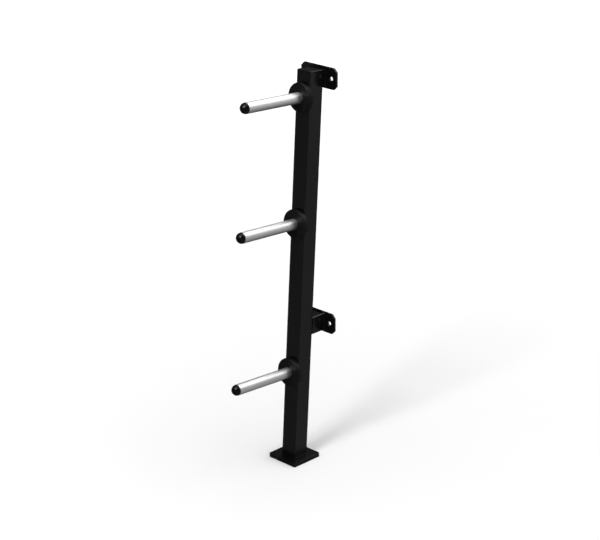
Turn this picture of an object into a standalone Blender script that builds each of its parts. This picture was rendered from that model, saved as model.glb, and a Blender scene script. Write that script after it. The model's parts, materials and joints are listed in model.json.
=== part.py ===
"""Wall-mounted plate holder: a leaning square upright with three bolted pegs for weight plates.

Metres, +Z up. The origin is the centre of the foot plate's underside. +X runs along the wall and
+Y points at it. The upright leans back by a few degrees, and the pegs stand square to its front
face, so they tip up and the plates on them don't slide off.
"""
import math

import bmesh
import bpy
from mathutils import Vector

# Square tube of the upright and of the lower stub
TUBE = 0.050
TUBE_WALL = 0.003
TUBE_CORNER_R = 0.0035
LEAN = math.radians(3.1)
TOP_PLATE_T = 0.003

# Pegs along the upright, from its foot to its top
BOTTOM_PEG_RISE = 0.251
MIDDLE_PEG_SPACING = 0.426
TOP_PEG_SPACING = 0.346
TOP_MARGIN = 0.071

# Foot plate
FOOT_SIDE = 0.100
FOOT_T = 0.012
FOOT_CORNER_R = 0.004

# Wall plates, one behind the head and one lower down
WALL_PLATE_W = 0.128
WALL_PLATE_H = 0.058
WALL_PLATE_T = 0.006
WALL_PLATE_CHAMFER = 0.010
WALL_HOLE_D = 0.012
WALL_HOLE_END_DISTANCE = 0.019
WALL_PLATE_ABOVE_TOP = 0.005
HEAD_GAP = 0.0068
PACKER_MARGIN = 0.006
LOWER_BRACKET_ABOVE_PEG = 0.126

# Peg tube
PEG_D = 0.030
PEG_WALL = 0.0025
PEG_LENGTH = 0.208
PEG_END_CHAMFER = 0.0005

# Rubber bumper round the root of each peg
BUMPER_D = 0.080
BUMPER_T = 0.014
BUMPER_FRONT_R = 0.003
BUMPER_REAR_R = 0.0015

# Domed plastic cap on a finned spigot in the end of each peg
CAP_RIM = 0.0005
CAP_SPIGOT_L = 0.016
CAP_SPIGOT_D = 0.018
CAP_WALL = 0.0025
CAP_FINS = 3
CAP_FIN_L = 0.0024

# Bolt from behind the upright into a threaded boss in the peg's root
BOLT_D = 0.012
BOLT_ENGAGEMENT = 0.022
BOLT_HEAD_FLATS = 0.019
BOLT_HEAD_CORNERS = 0.0211
BOLT_HEAD_H = 0.0075
BOLT_CHAMFER_ANGLE = math.radians(30)
BOSS_LENGTH = 0.030
BOSS_CHAMFER = 0.001
WASHER_D = 0.024
WASHER_T = 0.0025

# Clearances, welds and broken edges
SEAT = 0.0003
BOLT_HOLE_CLEARANCE = 0.0005
WELD_LEG = 0.002
WELD_LAND = 0.0004
EDGE_BREAK = 0.0006

# Facets round a circle, and along a corner or a dome
ROUND = 32
SMALL_ROUND = 24
CORNER_STEPS = 4
DOME_STEPS = 7
SHARP_ANGLE = math.radians(32)

UPRIGHT_LENGTH = BOTTOM_PEG_RISE + MIDDLE_PEG_SPACING + TOP_PEG_SPACING + TOP_MARGIN
FACING_OUT = (math.pi / 2, 0, 0)
FACING_WALL = (-math.pi / 2, 0, 0)
ALONG_WALL = (0, math.pi / 2, 0)


def linear(hex_colour):
    """An sRGB hex colour as linear red, green, blue and alpha."""
    channels = [int(hex_colour[i:i + 2], 16) / 255 for i in (0, 2, 4)]
    return [c / 12.92 if c <= 0.04045 else ((c + 0.055) / 1.055) ** 2.4 for c in channels] + [1.0]


def material(name, colour, roughness, metallic=0.0):
    """A Principled material, made once and found again by its name."""
    found = bpy.data.materials.get(name)
    if found:
        return found
    made = bpy.data.materials.new(name)
    made.use_nodes = True
    shader = made.node_tree.nodes["Principled BSDF"]
    shader.inputs["Base Color"].default_value = linear(colour)
    shader.inputs["Roughness"].default_value = roughness
    shader.inputs["Metallic"].default_value = metallic
    return made


def frame_paint():
    return material("black_powder_coat", "141414", 0.3)


def peg_steel():
    return material("satin_peg_steel", "c8c8c8", 0.3, metallic=1.0)


def bumper_rubber():
    return material("black_rubber", "151515", 0.5)


def cap_plastic():
    return material("black_plastic", "101010", 0.35)


def zinc_plate():
    return material("zinc_plated_steel", "b4b6b8", 0.35, metallic=1.0)


def collection(name):
    made = bpy.data.collections.new(name)
    bpy.context.scene.collection.children.link(made)
    return made


def add_object(name, mesh, group, parent=None, location=(0, 0, 0), rotation=(0, 0, 0), finish=None):
    """Put a mesh in the scene as a named object of a collection; with no mesh it is an empty."""
    obj = bpy.data.objects.new(name, mesh)
    group.objects.link(obj)
    obj.parent = parent
    obj.location = location
    obj.rotation_euler = rotation
    if finish:
        mesh.materials.append(finish)
    return obj


def add_cutter(name, mesh, cutters, parent=None, location=(0, 0, 0), rotation=(0, 0, 0)):
    obj = add_object(name, mesh, cutters, parent, location, rotation)
    obj.hide_render = True
    obj.display_type = "WIRE"
    return obj


def shape_with(obj, cutter, operation="DIFFERENCE"):
    """Take a cutter's shape out of an object, or keep only what lies inside it."""
    step = obj.modifiers.new(cutter.name, "BOOLEAN")
    step.operation = operation
    step.solver = "EXACT"
    step.object = cutter


def finished(obj):
    """Apply an object's modifiers, and shade it smooth up to its sharp edges."""
    bpy.context.view_layer.update()
    depsgraph = bpy.context.evaluated_depsgraph_get()
    mesh = bpy.data.meshes.new_from_object(obj.evaluated_get(depsgraph))
    obj.modifiers.clear()
    obj.data = mesh
    mesh.name = obj.name
    mesh.shade_smooth()
    mesh.set_sharp_from_angle(angle=SHARP_ANGLE)
    return obj


def mesh_from(bm, name):
    mesh = bpy.data.meshes.new(name)
    bm.to_mesh(mesh)
    bm.free()
    return mesh


def is_upright(edge):
    return (edge.verts[0].co - edge.verts[1].co).xy.length < 1e-7


def block(name, size, corner_r=0.0, corner_steps=CORNER_STEPS, rim=0.0, lower_rim=True, open_ends=False):
    """A block centred on its origin, with its four upright corners rounded and its rims chamfered."""
    bm = bmesh.new()
    bmesh.ops.create_cube(bm, size=1.0)
    bmesh.ops.scale(bm, vec=Vector(size), verts=bm.verts)
    if corner_r:
        corners = [e for e in bm.edges if is_upright(e)]
        bmesh.ops.bevel(bm, geom=corners, offset=corner_r, segments=corner_steps, profile=0.5,
                        affect="EDGES")
    bm.normal_update()
    ends = [f for f in bm.faces if f.normal.z > 0.99 or (lower_rim and f.normal.z < -0.99)]
    if rim:
        rims = list({e for f in ends for e in f.edges})
        bmesh.ops.bevel(bm, geom=rims, offset=rim, segments=1, profile=0.5, affect="EDGES")
    if open_ends:
        bmesh.ops.delete(bm, geom=ends, context="FACES_ONLY")
    return mesh_from(bm, name)


def prism(name, radius, length, sides):
    """A cylinder, or a prism with few sides, centred on its origin along Z."""
    bm = bmesh.new()
    bmesh.ops.create_cone(bm, cap_ends=True, segments=sides, radius1=radius, radius2=radius, depth=length)
    return mesh_from(bm, name)


def square_tube(name, length, group, parent, location, rotation=(0, 0, 0)):
    """A length of square tube along its own Z: an open block whose wall turns inwards."""
    mesh = block(name, (TUBE, TUBE, length), TUBE_CORNER_R, open_ends=True)
    obj = add_object(name, mesh, group, parent, location, rotation, frame_paint())
    wall = obj.modifiers.new("wall", "SOLIDIFY")
    wall.thickness = TUBE_WALL
    wall.offset = -1.0
    wall.use_even_offset = True
    return obj


def turned(name, profile, group, parent, finish, steps=ROUND):
    """A turned piece: a profile of (radius, height), outer side first, swept round its own Z."""
    edges = [(i, i + 1) for i in range(len(profile) - 1)]
    if profile[0][0] > 0:
        edges.append((len(profile) - 1, 0))
    mesh = bpy.data.meshes.new(name)
    mesh.from_pydata([(r, 0.0, z) for r, z in profile], edges, [])
    obj = add_object(name, mesh, group, parent, finish=finish)
    sweep = obj.modifiers.new("sweep", "SCREW")
    sweep.steps = steps
    sweep.render_steps = steps
    sweep.use_merge_vertices = True
    sweep.merge_threshold = 0.00001
    return obj


def arc(centre_r, centre_z, radius, start, end, steps):
    """Profile points along an arc, with its angles in degrees from +R towards +Z."""
    turns = [math.radians(start + (end - start) * i / steps) for i in range(steps + 1)]
    return [(centre_r + radius * math.cos(t), centre_z + radius * math.sin(t)) for t in turns]


def in_upright(y, z):
    """World Y and Z of a point given in the upright's own axes."""
    return (y * math.cos(LEAN) + z * math.sin(LEAN),
            FOOT_T - y * math.sin(LEAN) + z * math.cos(LEAN))


def along_upright(y, world_z):
    """Distance along the upright of the point at a depth y in its own axes and a height in the world."""
    return (world_z - FOOT_T + y * math.sin(LEAN)) / math.cos(LEAN)


def back_face_y(z):
    """World Y of the upright's back face at a height."""
    return (z - FOOT_T) * math.tan(LEAN) + TUBE / 2 / math.cos(LEAN)


def wall_plates_front_y():
    """World Y of both wall plates' front, which stands off the upright's top back edge."""
    return in_upright(TUBE / 2, UPRIGHT_LENGTH)[0] + HEAD_GAP


def upper_plate_z():
    """Middle height of the upper wall plate, whose top edge stands above the upright."""
    return in_upright(0.0, UPRIGHT_LENGTH)[1] + WALL_PLATE_ABOVE_TOP - WALL_PLATE_H / 2


def lower_bracket_z():
    """Middle height of the lower stub and its wall plate."""
    return in_upright(0.0, BOTTOM_PEG_RISE + LOWER_BRACKET_ABOVE_PEG)[1]


def peg_heights():
    """How far up the upright each peg sits."""
    middle = BOTTOM_PEG_RISE + MIDDLE_PEG_SPACING
    return {"bottom": BOTTOM_PEG_RISE, "middle": middle, "top": middle + TOP_PEG_SPACING}


def make_limits(cutters, upright_frame):
    """Large blocks that trim the members: below the foot, before the upright's back, behind the plates."""
    wide = 4 * WALL_PLATE_W
    tall = 3 * UPRIGHT_LENGTH
    foot_space = add_cutter("foot_space", block("foot_space", (wide, wide, wide)), cutters,
                            location=(0, 0, FOOT_T + SEAT - wide / 2))
    upright_space = add_cutter("upright_space", block("upright_space", (wide, wide, tall)), cutters,
                               upright_frame, (0, TUBE / 2 + SEAT - wide / 2, 0))
    wall_space = add_cutter("wall_space", block("wall_space", (wide, wide, tall)), cutters,
                            location=(0, wall_plates_front_y() - SEAT + wide / 2, 0))
    return foot_space, upright_space, wall_space


def make_foot_plate(parts):
    mesh = block("foot_plate", (FOOT_SIDE, FOOT_SIDE, FOOT_T), FOOT_CORNER_R, rim=EDGE_BREAK)
    finished(add_object("foot_plate", mesh, parts, location=(0, 0, FOOT_T / 2), finish=frame_paint()))


def make_upright(parts, cutters, upright_frame, foot_space):
    """The upright, cut to stand flat on the foot plate, drilled for the bolts and closed at the top."""
    top = UPRIGHT_LENGTH - TOP_PLATE_T - SEAT
    stock = top + TUBE
    tube = square_tube("upright_tube", stock, parts, upright_frame, (0, 0, top - stock / 2))
    shape_with(tube, foot_space)
    radius = BOLT_D / 2 + BOLT_HOLE_CLEARANCE
    for position, height in peg_heights().items():
        name = position + "_bolt_hole"
        shape_with(tube, add_cutter(name, prism(name, radius, 2 * TUBE, SMALL_ROUND), cutters,
                                    upright_frame, (0, 0, height), FACING_OUT))
    finished(tube)
    mesh = block("top_plate", (TUBE, TUBE, TOP_PLATE_T), TUBE_CORNER_R, rim=EDGE_BREAK)
    finished(add_object("top_plate", mesh, parts, upright_frame,
                        (0, 0, UPRIGHT_LENGTH - TOP_PLATE_T / 2), finish=frame_paint()))


def make_wall_plate(name, height, parts, cutters):
    """A flat plate against the wall, with chamfered corners and a bolt hole in each ear."""
    middle_y = wall_plates_front_y() + WALL_PLATE_T / 2
    mesh = block(name, (WALL_PLATE_W, WALL_PLATE_H, WALL_PLATE_T), WALL_PLATE_CHAMFER, corner_steps=1,
                 rim=EDGE_BREAK)
    plate = add_object(name, mesh, parts, None, (0, middle_y, height), FACING_OUT, frame_paint())
    hole_x = WALL_PLATE_W / 2 - WALL_HOLE_END_DISTANCE
    for side, x in (("left", -hole_x), ("right", hole_x)):
        hole = name + "_" + side + "_hole"
        shape_with(plate, add_cutter(hole, prism(hole, WALL_HOLE_D / 2, 4 * WALL_PLATE_T, SMALL_ROUND),
                                     cutters, None, (x, middle_y, height), FACING_OUT))
    finished(plate)


def make_ring_weld(name, width, height, parts, parent, location, rotation, members, corner_r=0.0):
    """A fillet weld round a member: a low block with its upper rim sloped and the member cut out."""
    outer = (width + 2 * WELD_LEG, height + 2 * WELD_LEG, WELD_LEG)
    mesh = block(name, outer, corner_r + WELD_LEG, rim=WELD_LEG - WELD_LAND, lower_rim=False)
    weld = add_object(name, mesh, parts, parent, location, rotation, frame_paint())
    for member in members:
        shape_with(weld, member)
    finished(weld)


def make_foot_weld(parts, cutters, upright_frame):
    outer = TUBE + 2 * SEAT
    mesh = block("upright_outside", (outer, outer, 8 * TUBE), TUBE_CORNER_R + SEAT)
    outside = add_cutter("upright_outside", mesh, cutters, upright_frame)
    make_ring_weld("foot_weld", TUBE, TUBE / math.cos(LEAN), parts, None,
                   (0, 0, FOOT_T + SEAT + WELD_LEG / 2), (0, 0, 0), [outside], TUBE_CORNER_R)


def make_lower_stub(parts, cutters, upright_frame, upright_space):
    """The short tube from the leaning upright to the lower wall plate, mitred to the upright."""
    height = lower_bracket_z()
    rear = wall_plates_front_y() - SEAT
    stock = rear - back_face_y(height) + TUBE
    stub = square_tube("lower_stub", stock, parts, None, (0, rear - stock / 2, height), FACING_OUT)
    shape_with(stub, upright_space)
    finished(stub)

    outer = TUBE + 2 * SEAT
    mesh = block("stub_outside", (outer, outer, 8 * TUBE), TUBE_CORNER_R + SEAT)
    outside = add_cutter("stub_outside", mesh, cutters, None, (0, rear, height), FACING_OUT)
    make_ring_weld("stub_rear_weld", TUBE, TUBE, parts, None, (0, rear - WELD_LEG / 2, height),
                   FACING_OUT, [outside], TUBE_CORNER_R)

    bead_size = (2 * WELD_LEG, 2 * WELD_LEG, TUBE - 2 * TUBE_CORNER_R)
    for name, edge_z in (("stub_upper_weld", height + TUBE / 2), ("stub_lower_weld", height - TUBE / 2)):
        mesh = block(name, bead_size, WELD_LEG - WELD_LAND, corner_steps=1)
        joint = (0, TUBE / 2 + SEAT, along_upright(TUBE / 2, edge_z))
        bead = add_object(name, mesh, parts, upright_frame, joint, ALONG_WALL, frame_paint())
        shape_with(bead, outside)
        shape_with(bead, upright_space)
        finished(bead)


def make_head_packer(parts, cutters, upright_frame, wall_space):
    """The wedge between the leaning upright's head and the upper wall plate, flush with the head."""
    height = WALL_PLATE_H - WALL_PLATE_ABOVE_TOP - PACKER_MARGIN
    depth = HEAD_GAP + TUBE
    place = (0, TUBE / 2 + SEAT + depth / 2, UPRIGHT_LENGTH - height / 2)
    mesh = block("head_packer", (TUBE, height, depth), EDGE_BREAK, corner_steps=1)
    packer = add_object("head_packer", mesh, parts, upright_frame, place, FACING_WALL, frame_paint())
    shape_with(packer, wall_space)
    finished(packer)

    mesh = block("packer_outside", (TUBE + 2 * SEAT, height + 2 * SEAT, 4 * TUBE))
    outside = add_cutter("packer_outside", mesh, cutters, upright_frame, place, FACING_WALL)
    rear = wall_plates_front_y() - SEAT
    middle_z = in_upright(TUBE / 2 + HEAD_GAP, UPRIGHT_LENGTH - height / 2)[1]
    make_ring_weld("head_weld", TUBE, height, parts, None, (0, rear - WELD_LEG / 2, middle_z),
                   FACING_OUT, [outside])


def bumper_profile():
    """A thick ring with a rounded front edge and a tighter rear one."""
    bore = PEG_D / 2 + SEAT
    radius = BUMPER_D / 2
    front = SEAT + BUMPER_T
    points = [(bore, front)]
    points += arc(radius - BUMPER_FRONT_R, front - BUMPER_FRONT_R, BUMPER_FRONT_R, 90, 0, 4)
    points += arc(radius - BUMPER_REAR_R, SEAT + BUMPER_REAR_R, BUMPER_REAR_R, 0, -90, 2)
    points.append((bore, SEAT))
    return points


def peg_tube_profile():
    """A round tube from the upright's face to the end cap."""
    outer = PEG_D / 2
    inner = outer - PEG_WALL
    return [(inner, PEG_LENGTH), (outer - PEG_END_CHAMFER, PEG_LENGTH),
            (outer, PEG_LENGTH - PEG_END_CHAMFER), (outer, SEAT), (inner, SEAT)]


def end_cap_profile():
    """A domed head on a hollow spigot, whose fins grip inside the peg's tube."""
    radius = PEG_D / 2
    seat = PEG_LENGTH + SEAT
    rim_top = seat + CAP_RIM
    spigot = CAP_SPIGOT_D / 2
    bore = spigot - CAP_WALL
    fin = radius - PEG_WALL - SEAT
    bottom = seat - CAP_SPIGOT_L
    points = [(0.0, rim_top + radius)]
    points += arc(0.0, rim_top, radius, 90, 0, DOME_STEPS)[1:]
    points += [(radius, seat), (spigot, seat)]
    pitch = CAP_SPIGOT_L / (CAP_FINS + 1)
    for number in range(1, CAP_FINS + 1):
        tip = seat - pitch * number
        points += [(spigot, tip + CAP_FIN_L / 2), (fin, tip), (spigot, tip - CAP_FIN_L / 2)]
    points += [(spigot, bottom), (bore, bottom), (bore, seat), (0.0, rim_top)]
    return points


def boss_profile():
    """The boss in the peg's root, with its thread as a plain bore."""
    outer = PEG_D / 2 - PEG_WALL - SEAT
    bore = BOLT_D / 2 + SEAT
    top = SEAT + BOSS_LENGTH
    return [(bore, top), (outer - BOSS_CHAMFER, top), (outer, top - BOSS_CHAMFER), (outer, SEAT),
            (bore + BOSS_CHAMFER, SEAT), (bore, SEAT + BOSS_CHAMFER)]


def washer_profile():
    """A flat washer on the upright's back face."""
    bore = BOLT_D / 2 + BOLT_HOLE_CLEARANCE
    front = -TUBE - SEAT
    return [(bore, front), (WASHER_D / 2, front), (WASHER_D / 2, front - WASHER_T),
            (bore, front - WASHER_T)]


def bolt_profile():
    """A bolt's shank and head as turned bar, before the head gets its six flats."""
    radius = BOLT_D / 2
    corners = BOLT_HEAD_CORNERS / 2
    under_head = -TUBE - WASHER_T - 2 * SEAT
    end = under_head - BOLT_HEAD_H
    bevel = corners - BOLT_HEAD_FLATS / 2
    point = radius / 4
    return [(0.0, BOLT_ENGAGEMENT), (radius - point, BOLT_ENGAGEMENT), (radius, BOLT_ENGAGEMENT - point),
            (radius, under_head), (corners, under_head),
            (corners, end + bevel * math.tan(BOLT_CHAMFER_ANGLE)), (corners - bevel, end), (0.0, end)]


def make_bolt(name, parts, cutters, peg_frame):
    """A hexagon bolt whose head bears on the washer behind the upright."""
    bolt = turned(name, bolt_profile(), parts, peg_frame, zinc_plate(), SMALL_ROUND)
    hexagon = prism(name + "_flats", BOLT_HEAD_FLATS / math.sqrt(3), 6 * TUBE, 6)
    shape_with(bolt, add_cutter(name + "_flats", hexagon, cutters, peg_frame), "INTERSECT")
    finished(bolt)


def make_peg(position, height, parts, cutters, upright_frame):
    """One peg: its tube, bumper, end cap, boss, bolt and washer, all on one axis."""
    frame = add_object(position + "_peg_frame", None, parts, upright_frame, (0, -TUBE / 2, height),
                       FACING_OUT)
    finished(turned(position + "_peg_tube", peg_tube_profile(), parts, frame, peg_steel()))
    finished(turned(position + "_peg_bumper", bumper_profile(), parts, frame, bumper_rubber()))
    finished(turned(position + "_peg_end_cap", end_cap_profile(), parts, frame, cap_plastic()))
    finished(turned(position + "_peg_boss", boss_profile(), parts, frame, zinc_plate(), SMALL_ROUND))
    finished(turned(position + "_peg_washer", washer_profile(), parts, frame, zinc_plate(), SMALL_ROUND))
    make_bolt(position + "_peg_bolt", parts, cutters, frame)


def clear_scene():
    for obj in list(bpy.data.objects):
        bpy.data.objects.remove(obj, do_unlink=True)


def main():
    clear_scene()
    parts = collection("wall_mounted_plate_holder")
    cutters = collection("cutters")
    upright_frame = add_object("upright_frame", None, parts, None, (0, 0, FOOT_T), (-LEAN, 0, 0))
    foot_space, upright_space, wall_space = make_limits(cutters, upright_frame)
    make_foot_plate(parts)
    make_upright(parts, cutters, upright_frame, foot_space)
    make_foot_weld(parts, cutters, upright_frame)
    make_wall_plate("upper_wall_plate", upper_plate_z(), parts, cutters)
    make_wall_plate("lower_wall_plate", lower_bracket_z(), parts, cutters)
    make_lower_stub(parts, cutters, upright_frame, upright_space)
    make_head_packer(parts, cutters, upright_frame, wall_space)
    for position, height in peg_heights().items():
        make_peg(position, height, parts, cutters, upright_frame)


if __name__ == "__main__":
    main()
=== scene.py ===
"""Looks of a wall-mounted plate holder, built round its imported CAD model.

It is laid out as a Blender add-on and is run as a script. Metres, +Z up. +X runs along the wall
and +Y points at it. The upright leans back, and its pegs stand square to its front face.
"""

import json
import math

import bmesh
import bpy
import numpy as np
from bpy.props import FloatProperty, FloatVectorProperty, IntProperty, PointerProperty
from bpy.types import Operator, Panel, PropertyGroup
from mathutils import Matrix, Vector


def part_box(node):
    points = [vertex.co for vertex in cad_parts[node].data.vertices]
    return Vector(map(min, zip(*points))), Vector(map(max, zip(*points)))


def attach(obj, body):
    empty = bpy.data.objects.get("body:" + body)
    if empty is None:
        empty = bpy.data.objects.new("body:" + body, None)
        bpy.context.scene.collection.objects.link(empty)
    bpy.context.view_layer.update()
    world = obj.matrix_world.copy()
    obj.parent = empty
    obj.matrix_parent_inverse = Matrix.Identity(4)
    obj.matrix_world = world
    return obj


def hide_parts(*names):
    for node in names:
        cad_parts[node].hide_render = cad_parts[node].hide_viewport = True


bl_info = {
    "name": "Wall-Mounted Plate Holder",
    "version": (1, 0, 0),
    "blender": (4, 5, 0),
    "location": "3D View > Sidebar > Plate Holder",
    "description": "Builds the surfaces, finishes and studio of a wall-mounted plate holder",
    "category": "Object",
}

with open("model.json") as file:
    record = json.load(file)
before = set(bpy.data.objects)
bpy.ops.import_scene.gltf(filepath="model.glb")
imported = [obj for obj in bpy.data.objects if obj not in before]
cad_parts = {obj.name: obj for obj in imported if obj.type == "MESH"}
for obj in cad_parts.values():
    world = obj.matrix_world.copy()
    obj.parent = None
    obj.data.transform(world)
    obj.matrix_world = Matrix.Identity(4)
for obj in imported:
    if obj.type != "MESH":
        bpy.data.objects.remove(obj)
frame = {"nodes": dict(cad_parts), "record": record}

POSITIONS = ("bottom", "middle", "top")
MM = 0.001
# Gap that the CAD model leaves between joined solids
SEAT = 0.3 * MM
# Distance under which two vertices of a surface are one
SAME_PLACE = 1e-6
# An edge is shaded smooth below the first angle, and a cut plate's edge is broken above the second
SMOOTH_BELOW = math.radians(34)
BREAK_ABOVE = math.radians(40)


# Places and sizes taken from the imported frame

def node_box(name):
    return np.array(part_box(name))


def node_centre(name):
    return node_box(name).mean(axis=0)


def node_size(name, axis):
    low, high = node_box(name)
    return float(high[axis] - low[axis])


def stop_face(position):
    """Centre of a bumper's front face, from the mount beside it, and the peg's direction."""
    mount = next(m for m in frame["record"]["mounts"] if m["name"] == position + "_peg_stop")
    place = np.array(mount["pos_m"], float)
    place[0] = 0.0
    axis = np.array(mount["axis"], float)
    return place, axis / np.linalg.norm(axis)


ALONG_WALL = np.array([1.0, 0.0, 0.0])
TO_WALL = np.array([0.0, 1.0, 0.0])
UPWARDS = np.array([0.0, 0.0, 1.0])
PEG_AXIS = stop_face("bottom")[1]
UP_TUBE = np.array([0.0, PEG_AXIS[2], -PEG_AXIS[1]])
LEAN = math.atan2(UP_TUBE[1], UP_TUBE[2])

# Sizes of the nodes, and the few that a box can't give
TUBE = node_size("lower_stub", 0)
FOOT_TOP = float(node_box("foot_plate")[1][2])
FOOT_CENTRE = np.array([0.0, 0.0, FOOT_TOP])
TOP_PLATE_T = 3 * MM
UPRIGHT_LENGTH = float((node_centre("top_plate") - FOOT_CENTRE) @ UP_TUBE) + TOP_PLATE_T / 2
WALL_PLATE_FRONT = float(node_box("upper_wall_plate")[0][1])
WALL_PLATE_T = node_size("upper_wall_plate", 1)
STUB_Z = float(node_centre("lower_stub")[2])
PEG_D = node_size("bottom_peg_tube", 0)
BUMPER_D = node_size("bottom_peg_bumper", 0)
BUMPER_REACH = float((stop_face("bottom")[0] - FOOT_CENTRE) @ PEG_AXIS) - TUBE / 2
PEG_LENGTH = 208 * MM

# The studio, in metres. Each soft box has its place, its two sides and the setting of its power
SOFT_BOXES = {
    "key_light": ((0.25, -3.2, 4.1), (1.5, 1.5), "key_power"),
    "back_light": ((0.5, 3.0, 3.25), (5.4, 3.9), "back_power"),
    "top_light": ((0.0, 0.6, 3.6), (2.5, 2.5), "top_power"),
    "low_light": ((3.0, 2.4, 0.9), (2.6, 1.6), "low_power"),
    "left_light": ((-3.2, 3.2, 2.9), (3.0, 1.6), "left_power"),
}
SHADOW_LIGHT_PLACE, SHADOW_LIGHT_SIDES = (1.05, -7.95, 10.25), (2.9, 5.0)
# Directions in which the painted reflection of the floor in gloss and the even light grow
LEFT_FRONT = (-0.866, -0.5, 0.0)
RIGHT_SIDE = (0.985, 0.174, 0.0)
# Cosines to +X between which the painted reflection of the floor in gloss turns lighter
RIGHT_FROM, RIGHT_TO = 0.3, 0.75
# Distance of the paper under the foot plate
FLOOR_GAP = 0.2 * MM

# The camera that was fitted to the photograph
CAMERA_PLACE = (3.2328, -3.3158, 2.3157)
CAMERA_ELEVATION, CAMERA_AZIMUTH = 20.495, 44.321
CAMERA_SHIFT = (0.01167, -0.015)


def linear(hex_colour):
    """An sRGB hex colour as linear red, green, blue and alpha."""
    channels = [int(hex_colour[i:i + 2], 16) / 255 for i in (0, 2, 4)]
    return [c / 12.92 if c <= 0.04045 else ((c + 0.055) / 1.055) ** 2.4 for c in channels] + [1.0]


def distance(name, description, default):
    """A length in metres that a user can change."""
    return FloatProperty(name=name, description=description, default=default, unit="LENGTH",
                         subtype="DISTANCE", precision=5, min=0.0)


def fraction(name, description, default):
    """A brightness or share from 0 to 1 that a user can change."""
    return FloatProperty(name=name, description=description, default=default, min=0.0, max=1.0)


def watts(name, description, default):
    """A lamp's power in watts that a user can change."""
    return FloatProperty(name=name, description=description, default=default, min=0.0,
                         unit="POWER")


def colour(name, description, hex_colour):
    """A colour, given as sRGB hex, that a user can change."""
    return FloatVectorProperty(name=name, description=description, default=linear(hex_colour),
                               size=4, min=0.0, max=1.0, subtype="COLOR")


class PlateHolderFrameSizes(PropertyGroup):
    """Sizes of the painted steel frame."""
    tube_wall: distance("Tube Wall", "Wall thickness of the square tubes", 3 * MM)
    tube_corner: distance("Tube Corner", "Outside corner radius of the square tubes", 3.5 * MM)
    edge_break: distance("Edge Break", "Radius of the broken edges of cut plates", 0.6 * MM)
    top_round: distance("Top Rounding", "Radius round the top plate's upper rim", 1.2 * MM)
    foot_corner: distance("Foot Corner", "Corner radius of the foot plate", 4 * MM)
    plate_chamfer: distance("Wall Plate Chamfer", "Cut-off corners of the wall plates", 10 * MM)
    hole: distance("Wall Hole", "Bolt holes in the wall plates", 12 * MM)
    hole_inset: distance("Hole Inset", "From a wall plate's end to its hole's centre", 19 * MM)
    packer_height: distance("Packer Height", "Height of the wedge behind the head", 47 * MM)
    weld_leg: distance("Weld Leg", "Leg of the fillet welds", 1 * MM)
    foot_weld_leg: distance("Foot Weld Leg", "Leg of the weld on the foot plate", 0.3 * MM)
    weld_pitch: distance("Weld Pitch", "Distance between the ripples of a weld", 1.6 * MM)


class PlateHolderPegSizes(PropertyGroup):
    """Sizes of the pegs and of what is fitted to them."""
    wall: distance("Peg Wall", "Wall thickness of a peg's tube", 2.5 * MM)
    end_break: distance("Peg End Break", "Rounding of a peg's cut end", 0.5 * MM)
    bumper_front: distance("Bumper Front", "Radius of a bumper's front edge", 3 * MM)
    bumper_rear: distance("Bumper Rear", "Radius of a bumper's rear edge", 1.5 * MM)
    cap_rim: distance("Cap Rim", "Straight rim under a cap's dome", 0.5 * MM)
    cap_spigot: distance("Cap Spigot", "Length of a cap's spigot inside the peg", 16 * MM)
    cap_spigot_d: distance("Cap Spigot Diameter", "Diameter of a cap's spigot", 18 * MM)
    cap_wall: distance("Cap Wall", "Wall thickness of a cap's spigot", 2.5 * MM)
    cap_fins: IntProperty(name="Cap Fins", description="Fins round a cap's spigot", default=3,
                          min=1)
    bolt: distance("Bolt", "Diameter of the bolt behind a peg", 12 * MM)
    bolt_flats: distance("Bolt Flats", "Width across the flats of a bolt's head", 19 * MM)
    bolt_corners: distance("Bolt Corners", "Width across the corners of a bolt's head", 21.1 * MM)
    bolt_head: distance("Bolt Head", "Height of a bolt's head", 7.5 * MM)
    bolt_engagement: distance("Bolt Engagement", "Length of bolt inside a peg", 22 * MM)
    washer: distance("Washer", "Outside diameter of a washer", 24 * MM)
    washer_t: distance("Washer Thickness", "Thickness of a washer", 2.5 * MM)


class PlateHolderFinishes(PropertyGroup):
    """Colours of the finishes, and the grain of those that have one."""
    paint: colour("Paint", "Gloss black powder coat of the frame", "080808")
    steel: colour("Peg Steel", "Turned and polished steel of the pegs", "cacaca")
    rubber: colour("Rubber", "Moulded black rubber of the bumpers", "070707")
    plastic: colour("Plastic", "Moulded black plastic of the end caps", "030303")
    zinc: colour("Zinc", "Zinc plate of the bolts and washers", "b9bdc1")
    orange_peel: distance("Orange Peel", "Width of a ripple in the powder coat", 1.8 * MM)
    turning: distance("Turning", "Distance between the fine lines round a peg", 0.5 * MM)


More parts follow.
